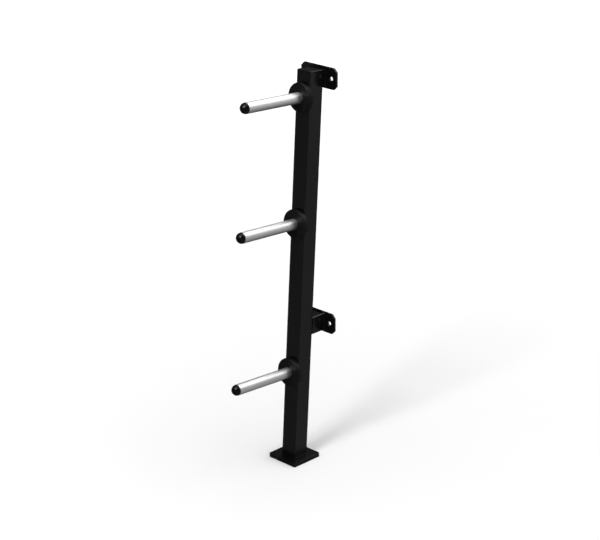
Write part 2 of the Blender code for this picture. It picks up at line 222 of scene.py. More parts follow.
class PlateHolderStage(PropertyGroup):
    """Floor, lamps and camera."""
    floor: colour("Floor", "Pale paper on the studio floor", "eaeaea")
    floor_size: distance("Floor Size", "Side of the floor", 60.0)
    glow: fraction("Far White", "White that the camera adds to the floor far away", 0.33)
    glow_from: distance("Far White From", "Distance at which that white begins", 0.2)
    glow_to: distance("Far White To", "Distance at which it is complete", 5.0)
    # Levels of the floor's glow in gloss: a painted reflection of lit floor, lighter on the right
    # and on the left in front, with painted shade right beside the foot plate
    mirrored: fraction("Mirrored Floor", "Level of the floor in gloss", 0.12)
    mirrored_right: fraction("Mirrored Floor at Right", "That level on the right", 0.42)
    mirrored_front: fraction("Mirrored Floor in Front", "Gain on the left in front", 0.105)
    painted_shade_share: fraction("Mirrored Floor Near", "Share of it right beside the foot plate", 0.2)
    painted_shade_from: distance("Near From", "Distance at which that share begins to grow", 0.05)
    painted_shade_to: distance("Near To", "Distance at which the level is whole", 0.09)
    surround: fraction("Surround", "Level of the dim room in gloss", 0.04)
    ambient: fraction("Ambient", "Level of the even light on matt surfaces", 0.84)
    ambient_slope: fraction("Ambient Slope", "Share by which it is stronger from the right", 0.9)
    shadow_power: watts("Shadow Light", "Power of the lamp that casts the soft shadow", 790.0)
    key_power: watts("Key Light", "Power of the soft box in front", 350.0)
    back_power: watts("Back Light", "Power of the soft box behind", 168.0)
    top_power: watts("Top Light", "Power of the soft box overhead", 50.0)
    low_power: watts("Low Light", "Power of the low panel on the right", 8.0)
    left_power: watts("Left Light", "Power of the dim panel on the left", 1.2)
    lens: FloatProperty(name="Lens", description="Focal length of the camera", default=110.19,
                        min=1.0, unit="CAMERA")


# Surfaces

def mesh_object(name, mesh):
    """Puts a mesh into the scene as a piece whose object sits at the origin."""
    made = bpy.data.objects.new(name, mesh)
    bpy.context.scene.collection.objects.link(made)
    return made


def grid_quads(*shape):
    """Quads between the neighbours of a grid, or of a row of grids, of numbered points."""
    index = np.arange(math.prod(shape)).reshape(shape)
    return np.stack([index[..., :-1, :-1], index[..., :-1, 1:], index[..., 1:, 1:],
                     index[..., 1:, :-1]], axis=-1)


def surface(name, grid):
    """A mesh of quads over a grid of points of shape (rows, columns, 3).

    Rows and columns that come back to where they began are joined by merging equal points, and
    so are rows that shrink to a pole. A shell whose signed volume is negative is turned round.
    """
    mesh = bpy.data.meshes.new(name)
    mesh.from_pydata(grid.reshape(-1, 3), [], grid_quads(*grid.shape[:2]).reshape(-1, 4))
    close_surface(mesh)
    return mesh_object(name, mesh)


def close_surface(mesh):
    """Merges equal points, drops faces without an area and points the rest outwards."""
    edit = bmesh.new()
    edit.from_mesh(mesh)
    bmesh.ops.remove_doubles(edit, verts=edit.verts, dist=SAME_PLACE)
    bmesh.ops.dissolve_degenerate(edit, edges=edit.edges, dist=SAME_PLACE)
    if edit.calc_volume(signed=True) < 0:
        bmesh.ops.reverse_faces(edit, faces=edit.faces)
    edit.to_mesh(mesh)
    edit.free()
    mesh.shade_smooth()
    mesh.set_sharp_from_angle(angle=SMOOTH_BELOW)


def arc(centre_a, centre_b, radius, start, end, steps):
    """Points centre + radius (cos t, sin t), with t from start to end in degrees."""
    t = np.radians(np.linspace(start, end, steps + 1))
    return np.stack([centre_a + radius * np.cos(t), centre_b + radius * np.sin(t)], axis=-1)


def rounded_rectangle(width, height, radius, steps=8, support=0.5 * MM):
    """Closed outline of a rectangle with round corners, and its outward normals.

    A corner's points are its centre plus radius (cos t, sin t). One more point stands on the
    straight on each side of every corner, so that the flats shade flat.
    """
    t = np.linspace(0, math.pi / 2, steps + 1)
    unit = np.stack([np.cos(t), np.sin(t)], axis=-1)
    before, after = np.array([[0.0, -support]]), np.array([[-support, 0.0]])
    corner = np.concatenate([radius * unit[:1] + before, radius * unit,
                             radius * unit[-1:] + after])
    normal = np.concatenate([unit[:1], unit, unit[-1:]])
    points, normals = [], []
    for quarter in range(4):
        c, s = (1, 0, -1, 0)[quarter], (0, 1, 0, -1)[quarter]
        turn = np.array([[c, s], [-s, c]])
        half = np.array([width, height]) / 2 - radius
        centre = half * np.sign(np.array([1, 1]) @ turn)
        points.append(corner @ turn + centre)
        normals.append(normal @ turn)
    points, normals = np.concatenate(points), np.concatenate(normals)
    return np.concatenate([points, points[:1]]), np.concatenate([normals, normals[:1]])


def rim_profile(thickness, lower, upper, support=0.4 * MM, steps=4):
    """Insets and heights up the side of a plate whose two rims are quarter circles."""
    low = arc(lower, lower, lower, 270, 180, steps)
    high = arc(upper, thickness - upper, upper, 180, 90, 2 * steps)
    return np.concatenate([[(lower + support, 0.0)], low, [(0.0, lower + support)],
                           [(0.0, thickness - upper - support)], high,
                           [(upper + support, thickness)]])


def plate_grid(outline, normals, profile):
    """Rings of an outline moved in by each inset and up by each height, closed at its middle."""
    rings = outline[None] - profile[:, None, :1] * normals[None]
    heights = np.broadcast_to(profile[:, None, 1:], rings.shape[:2] + (1,))
    grid = np.concatenate([rings, heights], axis=-1)
    low = np.broadcast_to([0.0, 0.0, profile[0, 1]], grid[:1].shape)
    high = np.broadcast_to([0.0, 0.0, profile[-1, 1]], grid[:1].shape)
    return np.concatenate([low, grid, high])


def placed(grid, origin, right, up, out):
    """A grid of (a, b, c) points as origin + a right + b up + c out."""
    return origin + grid[..., :1] * right + grid[..., 1:2] * up + grid[..., 2:] * out


def round_peg(origin, radius, height, t):
    """Points origin + height axis + radius (cos t, sin t) round a peg's axis."""
    ring = np.cos(t)[:, None] * ALONG_WALL + np.sin(t)[:, None] * np.cross(PEG_AXIS, ALONG_WALL)
    return origin + height[..., None] * PEG_AXIS + radius[..., None] * ring


def turned(name, profile, origin, around=128):
    """A profile of (radius, height) points turned round a peg's axis."""
    t = np.linspace(0, 2 * math.pi, around + 1)
    return surface(name, round_peg(origin, profile[:, :1], profile[:, 1:], t))


def tube_grid(outside, normals, wall, low, high):
    """A hollow tube's skin: up its outside, across its top, down its bore and back.

    low and high give, for each point (a, b) of the section, where the tube's two cuts are.
    """
    inside = outside - wall * normals
    skins = [(outside, low), (outside, high), (inside, high), (inside, low), (outside, low)]
    return np.stack([np.column_stack([points, cut(points)]) for points, cut in skins])


# Node materials

def add_node(tree, kind, inputs=None, **settings):
    """Adds a node with its settings; each input takes a value, or a socket to link."""
    node = tree.nodes.new(kind)
    for key, value in settings.items():
        setattr(node, key, value)
    for socket, value in (inputs or {}).items():
        if isinstance(value, bpy.types.NodeSocket):
            tree.links.new(value, node.inputs[socket])
        else:
            node.inputs[socket].default_value = value
    return node


def new_material(name, sockets):
    """A Principled material with some uniform values, its tree and its coordinates."""
    made = bpy.data.materials.new(name)
    made.use_nodes = True
    tree = made.node_tree
    for socket, value in sockets.items():
        tree.nodes["Principled BSDF"].inputs[socket].default_value = value
    return made, tree, add_node(tree, "ShaderNodeTexCoord").outputs["Object"]


def finished(made, shade, rough, bump):
    """Links a colour, a roughness range and a bump to the material's shader."""
    tree = made.node_tree
    shader = tree.nodes["Principled BSDF"]
    tree.links.new(shade, shader.inputs["Base Color"])
    tree.links.new(rough.outputs["Result"], shader.inputs["Roughness"])
    tree.links.new(bump.outputs["Normal"], shader.inputs["Normal"])
    return made


def shades(tree, factor, base, darker, lighter):
    """The base colour scaled between two brightnesses by a factor."""
    ends = [[c * level for c in base[:3]] + [1.0] for level in (darker, lighter)]
    mix = add_node(tree, "ShaderNodeMix", data_type="RGBA")
    tree.links.new(factor, mix.inputs[0])
    mix.inputs[6].default_value, mix.inputs[7].default_value = ends
    return mix.outputs[2]


def powder_coat(finish):
    """Gloss black polyester powder coat, sprayed and baked on steel.

    The eye sees a deep black with a fairly sharp mirror image, a faint orange-peel ripple in the
    highlights, and a slow change of gloss where the coat is thicker.
    """
    made, tree, place = new_material("gloss_black_powder_coat", {"Specular IOR Level": 0.21})
    thick_patch = 60 * MM
    peel = add_node(tree, "ShaderNodeTexNoise", {"Vector": place, "Scale": 1 / finish.orange_peel,
                                                 "Detail": 2.0, "Roughness": 0.45})
    gloss = add_node(tree, "ShaderNodeTexNoise", {"Vector": place, "Scale": 1 / thick_patch,
                                                  "Detail": 3.0, "Roughness": 0.55})
    rough = add_node(tree, "ShaderNodeMapRange", {"Value": gloss.outputs["Fac"], "To Min": 0.17,
                                                  "To Max": 0.27})
    bump = add_node(tree, "ShaderNodeBump", {"Height": peel.outputs["Fac"], "Strength": 0.25,
                                             "Distance": 0.03 * MM})
    shade = shades(tree, gloss.outputs["Fac"], finish.paint, 0.85, 1.15)
    return finished(made, shade, rough, bump)


def turned_steel(finish):
    """Plain steel tube, turned and polished in the lathe.

    The eye sees a bright satin metal that fades smoothly from light to dark round the tube, with
    very fine lines round it. They are drawn coarser than real ones, so that they can be seen, and
    each fades after about 80 mm.
    """
    made, tree, place = new_material("turned_bright_steel", {"Metallic": 1.0})
    line_length, cloud_width = 1 / 12, 25 * MM
    straight = add_node(tree, "ShaderNodeMapping", {"Vector": place, "Rotation": (-LEAN, 0, 0)})
    stretch = (1 / line_length, 1 / finish.turning, 1 / line_length)
    lines = add_node(tree, "ShaderNodeMapping", {"Vector": straight.outputs[0], "Scale": stretch})
    grain = add_node(tree, "ShaderNodeTexNoise", {"Vector": lines.outputs[0], "Scale": 1.0,
                                                  "Detail": 3.0, "Roughness": 0.6})
    cloud = add_node(tree, "ShaderNodeTexNoise", {"Vector": place, "Scale": 1 / cloud_width,
                                                  "Detail": 3.0})
    rough = add_node(tree, "ShaderNodeMapRange", {"Value": cloud.outputs["Fac"], "To Min": 0.37,
                                                  "To Max": 0.45})
    bump = add_node(tree, "ShaderNodeBump", {"Height": grain.outputs["Fac"], "Strength": 0.3,
                                             "Distance": 0.02 * MM})
    shade = shades(tree, grain.outputs["Fac"], finish.steel, 0.93, 1.03)
    return finished(made, shade, rough, bump)


def moulded_rubber(finish):
    """Black rubber moulded in a blasted steel tool.

    The eye sees a deep matt black with a broad soft highlight on the rounded rim and a very fine
    sandy grain.
    """
    made, tree, place = new_material("moulded_black_rubber", {"Specular IOR Level": 0.125})
    grit, bloom_width = 0.5 * MM, 18 * MM
    grain = add_node(tree, "ShaderNodeTexNoise", {"Vector": place, "Scale": 1 / grit,
                                                  "Detail": 2.0, "Roughness": 0.6})
    bloom = add_node(tree, "ShaderNodeTexNoise", {"Vector": place, "Scale": 1 / bloom_width,
                                                  "Detail": 4.0, "Roughness": 0.6})
    rough = add_node(tree, "ShaderNodeMapRange", {"Value": bloom.outputs["Fac"], "To Min": 0.42,
                                                  "To Max": 0.56})
    bump = add_node(tree, "ShaderNodeBump", {"Height": grain.outputs["Fac"], "Strength": 0.35,
                                             "Distance": 0.03 * MM})
    shade = shades(tree, bloom.outputs["Fac"], finish.rubber, 0.8, 1.25)
    return finished(made, shade, rough, bump)


def moulded_plastic(finish):
    """Black polyethylene moulded in a polished tool.

    The eye sees a near-black dome with clear, slightly soft highlights and hardly any grain.
    """
    made, tree, place = new_material("moulded_black_plastic", {"Specular IOR Level": 0.15})
    flow_mark = 6 * MM
    flow = add_node(tree, "ShaderNodeTexNoise", {"Vector": place, "Scale": 1 / flow_mark,
                                                 "Detail": 3.0, "Roughness": 0.5})
    rough = add_node(tree, "ShaderNodeMapRange", {"Value": flow.outputs["Fac"], "To Min": 0.3,
                                                  "To Max": 0.38})
    bump = add_node(tree, "ShaderNodeBump", {"Height": flow.outputs["Fac"], "Strength": 0.15,
                                             "Distance": 0.05 * MM})
    shade = shades(tree, flow.outputs["Fac"], finish.plastic, 0.85, 1.15)
    return finished(made, shade, rough, bump)


def zinc_plate(finish):
    """Bright zinc plate with a clear passivate on cold-formed steel.

    The eye sees a cool grey metal with faint cloudy patches and soft reflections.
    """
    made, tree, place = new_material("bright_zinc_plate", {"Metallic": 1.0})
    patch, crystal = 4 * MM, 1.2 * MM
    cloud = add_node(tree, "ShaderNodeTexNoise", {"Vector": place, "Scale": 1 / patch,
                                                  "Detail": 4.0, "Roughness": 0.6})
    crystals = add_node(tree, "ShaderNodeTexVoronoi", {"Vector": place, "Scale": 1 / crystal})
    rough = add_node(tree, "ShaderNodeMapRange", {"Value": cloud.outputs["Fac"], "To Min": 0.28,
                                                  "To Max": 0.46})
    bump = add_node(tree, "ShaderNodeBump", {"Height": crystals.outputs["Distance"],
                                             "Strength": 0.15, "Distance": 0.02 * MM})
    shade = shades(tree, cloud.outputs["Fac"], finish.zinc, 0.82, 1.1)
    return finished(made, shade, rough, bump)


def studio_paper(stage):
    """White seamless paper on the studio floor.

    The camera sees it as white with the object's soft shadow. It adds a little light of its own
    for the camera alone, more with the distance, where the lamp's light fades. Metal and gloss
    see it as a glow of its own: a plain dark grey with a painted reflection of lit floor that
    turns lighter on the right, and less so on the left in front, and with painted shade right
    beside the foot plate.
    """
    made = bpy.data.materials.new("studio_paper")
    made.use_nodes = True
    tree = made.node_tree
    tree.nodes.clear()
    path = add_node(tree, "ShaderNodeLightPath")
    place = add_node(tree, "ShaderNodeTexCoord").outputs["Object"]
    away = add_node(tree, "ShaderNodeVectorMath", {0: place}, operation="LENGTH").outputs["Value"]
    white = add_node(tree, "ShaderNodeMapRange",
                     {"Value": away, "From Min": stage.glow_from, "From Max": stage.glow_to,
                      "To Max": stage.glow})
    glow = add_node(tree, "ShaderNodeMath", {0: path.outputs["Is Camera Ray"],
                                             1: white.outputs["Result"]}, operation="MULTIPLY")
    diffuse = add_node(tree, "ShaderNodeBsdfDiffuse", {"Color": stage.floor})
    emission = add_node(tree, "ShaderNodeEmission", {"Strength": glow.outputs[0]})
    paper = add_node(tree, "ShaderNodeAddShader", {0: diffuse.outputs[0], 1: emission.outputs[0]})

    # Painted reflection: the floor's glow in gloss is lighter on the right and on the left in
    # front, as if the floor there were lit
    ray = add_node(tree, "ShaderNodeVectorMath", {0: place}, operation="NORMALIZE")
    right, front = (add_node(tree, "ShaderNodeVectorMath", {0: ray.outputs[0], 1: direction},
                             operation="DOT_PRODUCT").outputs["Value"]
                    for direction in (ALONG_WALL, LEFT_FRONT))
    side = add_node(tree, "ShaderNodeMapRange",
                    {"Value": right, "From Min": RIGHT_FROM, "From Max": RIGHT_TO,
                     "To Min": stage.mirrored, "To Max": stage.mirrored_right},
                    interpolation_type="SMOOTHSTEP")
    ahead = add_node(tree, "ShaderNodeMath", {0: front, 1: 0.0}, operation="MAXIMUM")
    level = add_node(tree, "ShaderNodeMath", {0: ahead.outputs[0], 1: stage.mirrored_front,
                                              2: side.outputs["Result"]}, operation="MULTIPLY_ADD")
    # Painted shade: that glow in gloss is darker right beside the foot plate
    painted_shade = add_node(tree, "ShaderNodeMapRange",
                    {"Value": away, "From Min": stage.painted_shade_from, "From Max": stage.painted_shade_to,
                     "To Min": stage.painted_shade_share})
    shaded = add_node(tree, "ShaderNodeMath", {0: level.outputs[0], 1: painted_shade.outputs["Result"]},
                      operation="MULTIPLY")
    mirrored = add_node(tree, "ShaderNodeEmission", {"Strength": shaded.outputs[0]})
    gloss = add_node(tree, "ShaderNodeMath", {0: path.outputs["Is Glossy Ray"],
                                              1: path.outputs["Is Transmission Ray"]},
                     operation="MAXIMUM")
    both = add_node(tree, "ShaderNodeMixShader", {0: gloss.outputs[0], 1: paper.outputs[0],
                                                  2: mirrored.outputs[0]})
    add_node(tree, "ShaderNodeOutputMaterial", {"Surface": both.outputs[0]})
    return made


# The record's slots and what makes each one's material
FINISHES = {
    "black_powder_coat": powder_coat,
    "satin_peg_steel": turned_steel,
    "black_rubber": moulded_rubber,
    "black_plastic": moulded_plastic,
    "zinc_plated_steel": zinc_plate,
}
# The name of each slot's material, once it is made
finish_names = {}


def finish_for(slot):
    """The material of one of the record's slots, made on its first use."""
    made = bpy.data.materials.get(finish_names.get(slot, ""))
    if made is None:
        made = FINISHES[slot](bpy.context.scene.plate_holder_finishes)
        finish_names[slot] = made.name
    return made


def piece(made, slot, *nodes):
    """Gives a new piece its finish, its body and the CAD nodes that it stands for."""
    made.data.materials.append(finish_for(slot))
    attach(made, "root")
    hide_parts(*nodes)
    return made


# Shapes of the frame

def cut_at_foot(points):
    """Where a section point (x, n) of the upright meets the plane just above the foot plate."""
    return (SEAT - points[:, 1] * PEG_AXIS[2]) / UP_TUBE[2]


def back_face_y(z):
    """Distance to the wall of the upright's back face, at a height."""
    return (z - FOOT_TOP) * math.tan(LEAN) + TUBE / 2 / math.cos(LEAN)


class PLATEHOLDER_OT_upright(Operator):
    """Build the leaning square tube and the plate that closes it"""
    bl_idname = "plate_holder.upright"
    bl_label = "Upright and Top Plate"

    def execute(self, context):
        sizes = context.scene.plate_holder_frame
        outline, normals = rounded_rectangle(TUBE, TUBE, sizes.tube_corner)
        top = UPRIGHT_LENGTH - TOP_PLATE_T - SEAT
        grid = tube_grid(outline, normals, sizes.tube_wall, cut_at_foot,
                         lambda points: np.full(len(points), top))
        tube = surface("upright_tube_skin",
                       placed(grid, FOOT_CENTRE, ALONG_WALL, PEG_AXIS, UP_TUBE))
        piece(tube, "black_powder_coat", "upright_tube")

        lower_rim = 0.3 * MM
        rim = rim_profile(TOP_PLATE_T, lower_rim, sizes.top_round)
        grid = plate_grid(outline, normals, rim)
        base = FOOT_CENTRE + UP_TUBE * (UPRIGHT_LENGTH - TOP_PLATE_T)
        plate = surface("top_plate_skin", placed(grid, base, ALONG_WALL, PEG_AXIS, UP_TUBE))
        piece(plate, "black_powder_coat", "top_plate")
        return {"FINISHED"}


class PLATEHOLDER_OT_foot_plate(Operator):
    """Build the square plate on the floor"""
    bl_idname = "plate_holder.foot_plate"
    bl_label = "Foot Plate"

    def execute(self, context):
        sizes = context.scene.plate_holder_frame
        side = node_size("foot_plate", 0)
        outline, normals = rounded_rectangle(side, side, sizes.foot_corner)
        rim = rim_profile(FOOT_TOP, sizes.edge_break, sizes.edge_break)
        grid = plate_grid(outline, normals, rim)
        piece(surface("foot_plate_skin", grid), "black_powder_coat", "foot_plate")
        return {"FINISHED"}


def half_plate_grid(width, height, chamfer, hole_x, hole_radius, rings=6, around=96):
    """Half a plate, x >= 0, as rings that grow from its hole to its edge.

    Round the hole's centre, the edge is at the least of d / (n . u) over the sides, with u the
    direction, n a side's normal and d its distance. The directions take in every corner.
    """
    half = height / 2
    corners = np.array([[0, half], [0, -half], [width / 2 - chamfer, -half],
                        [width / 2, -half + chamfer], [width / 2, half - chamfer],
                        [width / 2 - chamfer, half]]) - [hole_x, 0]
    sides = np.roll(corners, -1, axis=0) - corners
    normals = np.stack([sides[:, 1], -sides[:, 0]], axis=-1)
    distances = (normals * corners).sum(axis=1)
    t = np.concatenate([np.linspace(0, 2 * math.pi, around, endpoint=False),
                        np.arctan2(corners[:, 1], corners[:, 0]) % (2 * math.pi)])
    t = np.unique(np.round(t, 9))
    t = np.append(t, t[0] + 2 * math.pi)
    direction = np.stack([np.cos(t), np.sin(t)], axis=-1)
    across, least = normals @ direction.T, 1e-9
    reach = np.min(np.where(across > least, distances[:, None] / np.maximum(across, least),
                            np.inf), axis=0)
    share = np.linspace(0, 1, rings)[:, None]
    radius = hole_radius * (1 - share) + reach * share
    return radius[..., None] * direction + [hole_x, 0]


class PLATEHOLDER_OT_wall_plates(Operator):
    """Build the two plates that are bolted to the wall"""
    bl_idname = "plate_holder.wall_plates"
    bl_label = "Wall Plates"

    def execute(self, context):
        sizes = context.scene.plate_holder_frame
        for node in ("upper_wall_plate", "lower_wall_plate"):
            width, height = node_size(node, 0), node_size(node, 2)
            half = half_plate_grid(width, height, sizes.plate_chamfer,
                                   width / 2 - sizes.hole_inset, sizes.hole / 2)
            both = np.stack([half, half * [-1, 1]])
            quads = grid_quads(*both.shape[:3])
            quads[1] = quads[1][..., ::-1]
            centre = node_centre(node)
            points = np.stack([both[..., 0] + centre[0], np.full(both.shape[:3], WALL_PLATE_FRONT),
                               both[..., 1] + centre[2]], axis=-1)
            mesh = bpy.data.meshes.new(node + "_skin")
            mesh.from_pydata(points.reshape(-1, 3), [], quads.reshape(-1, 4))
            face_forward(mesh)
            plate = mesh_object(node + "_skin", mesh)
            wall = plate.modifiers.new("Thickness", "SOLIDIFY")
            wall.thickness, wall.offset = WALL_PLATE_T, -1.0
            rim = plate.modifiers.new("Broken Edges", "BEVEL")
            rim.width, rim.segments, rim.limit_method = sizes.edge_break, 3, "ANGLE"
            rim.angle_limit, rim.harden_normals = BREAK_ABOVE, True
            piece(plate, "black_powder_coat", node)
        return {"FINISHED"}


def face_forward(mesh):
    """Merges a flat sheet's equal points and turns its faces away from the wall."""
    edit = bmesh.new()
    edit.from_mesh(mesh)
    bmesh.ops.remove_doubles(edit, verts=edit.verts, dist=SAME_PLACE)
    edit.normal_update()
    wrong = [face for face in edit.faces if face.normal.y > 0]
    bmesh.ops.reverse_faces(edit, faces=wrong)
    edit.to_mesh(mesh)
    edit.free()
    mesh.shade_smooth()


class PLATEHOLDER_OT_spacers(Operator):
    """Build the stub and the wedge between the upright and its wall plates"""
    bl_idname = "plate_holder.spacers"
    bl_label = "Stub and Packer"

    def execute(self, context):
        sizes = context.scene.plate_holder_frame
        rear = WALL_PLATE_FRONT - SEAT
        outline, normals = rounded_rectangle(TUBE, TUBE, sizes.tube_corner)
        grid = tube_grid(outline, normals, sizes.tube_wall,
                         lambda points: back_face_y(STUB_Z + points[:, 1]) + SEAT / math.cos(LEAN),
                         lambda points: np.full(len(points), rear))
        origin = np.array([0.0, 0.0, STUB_Z])
        stub = surface("lower_stub_skin", placed(grid, origin, ALONG_WALL, UPWARDS, TO_WALL))
        piece(stub, "black_powder_coat", "lower_stub")

        height = sizes.packer_height
        outline, normals = rounded_rectangle(TUBE, height, sizes.edge_break, steps=4)
        middle = UPRIGHT_LENGTH - height / 2
        start = TUBE / 2 + SEAT
        end = (rear - (outline[:, 1] + middle) * UP_TUBE[1]) / UP_TUBE[2]
        rings = [np.column_stack([outline, np.full(len(outline), start)]),
                 np.column_stack([outline, end])]
        grid = np.stack([np.broadcast_to([0.0, 0.0, start], rings[0].shape), *rings,
                         np.broadcast_to([0.0, 0.0, end.mean()], rings[0].shape)])
        packer = surface("head_packer_skin", placed(grid, FOOT_CENTRE + middle * UP_TUBE,
                                                    ALONG_WALL, UP_TUBE, -PEG_AXIS))
        piece(packer, "black_powder_coat", "head_packer")
        return {"FINISHED"}


# Welds

# Half-way between its toes, a bead's face stands this share of its leg from its root
BEAD_THROAT = 0.8
# Height of its ripples there as a share of that, and how many points draw one
RIPPLE = 0.07
RIPPLE_POINTS = 6
# A bead round a member starts this far inside it
BEAD_ROOT = 0.2 * MM


def bead_section(along, leg, pitch, size=1.0, steps=8):
    """Grid of a fillet bead's section (a, b) along its length, as a closed loop from the root.

    The face bulges between its toes: at angle t it stands at leg (cos t, sin t) times s, where s
    goes from 1 at the toes to the throat's share as (cos 2t) squared. Its ripples scale it by
    |sin| of the way along, and most at the throat.
    """
    t = np.linspace(0, math.pi / 2, steps + 1)
    bulge = BEAD_THROAT + (1 - BEAD_THROAT) * np.cos(2 * t) ** 2
    wave = np.abs(np.sin(math.pi * along / pitch)) - 0.5
    ripple = 1 + RIPPLE * wave[:, None] * np.sin(2 * t)
    reach = leg * bulge * ripple * np.broadcast_to(size, along.shape)[:, None]
    face = reach[..., None] * np.stack([np.cos(t), np.sin(t)], axis=-1)
    root = np.zeros((len(along), 1, 2))
    return np.concatenate([root, face, root], axis=1)


def ring_bead(name, width, height, radius, leg, pitch, origin, right, up, along_member):
    """A bead round a member: the section's a goes out from its outline and b along the member."""
    outline, normals = rounded_rectangle(width, height, radius, support=0.0)
    outline = outline - BEAD_ROOT * normals
    steps = np.linalg.norm(np.diff(outline, axis=0), axis=1)
    way = np.concatenate([[0.0], np.cumsum(steps)])
    pitch = way[-1] / round(way[-1] / pitch)
    along = np.linspace(0, way[-1], RIPPLE_POINTS * round(way[-1] / pitch) + 1)
    line = np.stack([np.interp(along, way, outline[:, k]) for k in (0, 1)], axis=-1)
    out = np.stack([np.interp(along, way, normals[:, k]) for k in (0, 1)], axis=-1)
    out /= np.linalg.norm(out, axis=1, keepdims=True)
    section = bead_section(along, leg, pitch)
    flat = line[:, None] + section[..., :1] * out[:, None]
    grid = np.concatenate([flat, section[..., 1:]], axis=-1)
    return surface(name, placed(grid, origin, right, up, along_member))


def straight_bead(name, length, leg, pitch, origin, side_a, side_b):
    """A bead along x whose ends shrink as a quarter circle, between two faces that meet."""
    along = np.linspace(0, length, RIPPLE_POINTS * round(length / pitch) + 1)
    from_end = np.minimum(along, length - along) / leg
    size = np.sqrt(1 - (1 - np.minimum(from_end, 1)) ** 2)
    section = bead_section(along, leg, pitch, size)
    x = (along - length / 2)[:, None, None] * ALONG_WALL
    grid = origin + x + section[..., :1] * side_a + section[..., 1:] * side_b
    return surface(name, grid)


class PLATEHOLDER_OT_welds(Operator):
    """Build the fillet welds that join the frame's members"""
    bl_idname = "plate_holder.welds"
    bl_label = "Welds"

    def execute(self, context):
        sizes = context.scene.plate_holder_frame
        leg, pitch, corner = sizes.weld_leg, sizes.weld_pitch, sizes.tube_corner
        foot = ring_bead("foot_weld_bead", TUBE, TUBE / math.cos(LEAN), corner,
                         sizes.foot_weld_leg, pitch, FOOT_CENTRE, ALONG_WALL, TO_WALL, UP_TUBE)
        piece(foot, "black_powder_coat", "foot_weld")

        origin = np.array([0.0, WALL_PLATE_FRONT, STUB_Z])
        rear = ring_bead("stub_rear_weld_bead", TUBE, TUBE, corner, leg, pitch, origin, ALONG_WALL,
                         UPWARDS, -TO_WALL)
        piece(rear, "black_powder_coat", "stub_rear_weld")

        origin = np.array([0.0, WALL_PLATE_FRONT, node_centre("head_weld")[2]])
        head = ring_bead("head_weld_bead", TUBE, sizes.packer_height / math.cos(LEAN),
                         sizes.edge_break, leg, pitch, origin, ALONG_WALL, UPWARDS, PEG_AXIS)
        piece(head, "black_powder_coat", "head_weld")

        for node, side in (("stub_upper_weld", 1), ("stub_lower_weld", -1)):
            z = STUB_Z + side * TUBE / 2
            origin = np.array([0.0, back_face_y(z), z])
            bead = straight_bead(node + "_bead", TUBE - 2 * corner, leg, pitch, origin,
                                 side * UP_TUBE, TO_WALL)
            piece(bead, "black_powder_coat", node)
        return {"FINISHED"}


# Pegs

def peg_root(position):
    """Where a peg's axis leaves the upright's front face."""
    return stop_face(position)[0] - BUMPER_REACH * PEG_AXIS


class PLATEHOLDER_OT_peg_tubes(Operator):
    """Build the bright round tubes that the plates hang on"""
    bl_idname = "plate_holder.peg_tubes"
    bl_label = "Peg Tubes"

    def execute(self, context):
        sizes = context.scene.plate_holder_pegs
        outer, inner, rounding = PEG_D / 2, PEG_D / 2 - sizes.wall, sizes.end_break
        edge = arc(outer - rounding, PEG_LENGTH - rounding, rounding, 90, 0, 6)
        profile = np.concatenate([
            [(inner, PEG_LENGTH)], edge,
            [(outer, PEG_LENGTH - 2 * rounding), (outer, SEAT), (inner, SEAT),
             (inner, PEG_LENGTH)]])
        for position in POSITIONS:
            node = position + "_peg_tube"
            piece(turned(node + "_skin", profile, peg_root(position)), "satin_peg_steel", node)
        return {"FINISHED"}


class PLATEHOLDER_OT_bumpers(Operator):
    """Build the rubber rings at the pegs' roots"""
    bl_idname = "plate_holder.bumpers"
    bl_label = "Bumpers"

    def execute(self, context):
        sizes = context.scene.plate_holder_pegs
        bore, outer = PEG_D / 2 + SEAT, BUMPER_D / 2
        front, rear = sizes.bumper_front, sizes.bumper_rear
        mouth, support = 0.5 * MM, 0.4 * MM
        profile = np.concatenate([
            [(bore, BUMPER_REACH - mouth)],
            arc(bore + mouth, BUMPER_REACH - mouth, mouth, 180, 90, 4),
            [(outer - front - support, BUMPER_REACH)],
            arc(outer - front, BUMPER_REACH - front, front, 90, 0, 10),
            arc(outer - rear, SEAT + rear, rear, 0, -90, 6),
            [(outer - rear - support, SEAT), (bore, SEAT), (bore, BUMPER_REACH - mouth)]])
        for position in POSITIONS:
            node = position + "_peg_bumper"
            piece(turned(node + "_skin", profile, peg_root(position), around=192), "black_rubber",
                  node)
        return {"FINISHED"}


class PLATEHOLDER_OT_end_caps(Operator):
    """Build the domed caps in the pegs' ends"""
    bl_idname = "plate_holder.end_caps"
    bl_label = "End Caps"

    def execute(self, context):
        sizes = context.scene.plate_holder_pegs
        radius, seat = PEG_D / 2, PEG_LENGTH + SEAT
        top, bottom = seat + sizes.cap_rim, seat - sizes.cap_spigot
        spigot, bore = sizes.cap_spigot_d / 2, sizes.cap_spigot_d / 2 - sizes.cap_wall
        fin, half_fin, lip = radius - sizes.wall - SEAT, 1.2 * MM, 0.3 * MM
        tips = seat - sizes.cap_spigot / (sizes.cap_fins + 1) * np.arange(1, sizes.cap_fins + 1)
        fins = np.stack([np.tile([spigot, fin, spigot], sizes.cap_fins),
                         np.repeat(tips, 3) + np.tile([half_fin, 0, -half_fin], sizes.cap_fins)],
                        axis=-1)
        dome = arc(0.0, top, radius, 90, 0, 24)
        profile = np.concatenate([
            dome, arc(radius - lip, seat + lip, lip, 0, -90, 4), [(spigot, seat)], fins,
            [(spigot, bottom), (bore, bottom), (bore, seat), (0.0, seat + 0.5 * sizes.cap_rim)]])
        for position in POSITIONS:
            node = position + "_peg_end_cap"
            piece(turned(node + "_skin", profile, peg_root(position)), "black_plastic", node)
        return {"FINISHED"}


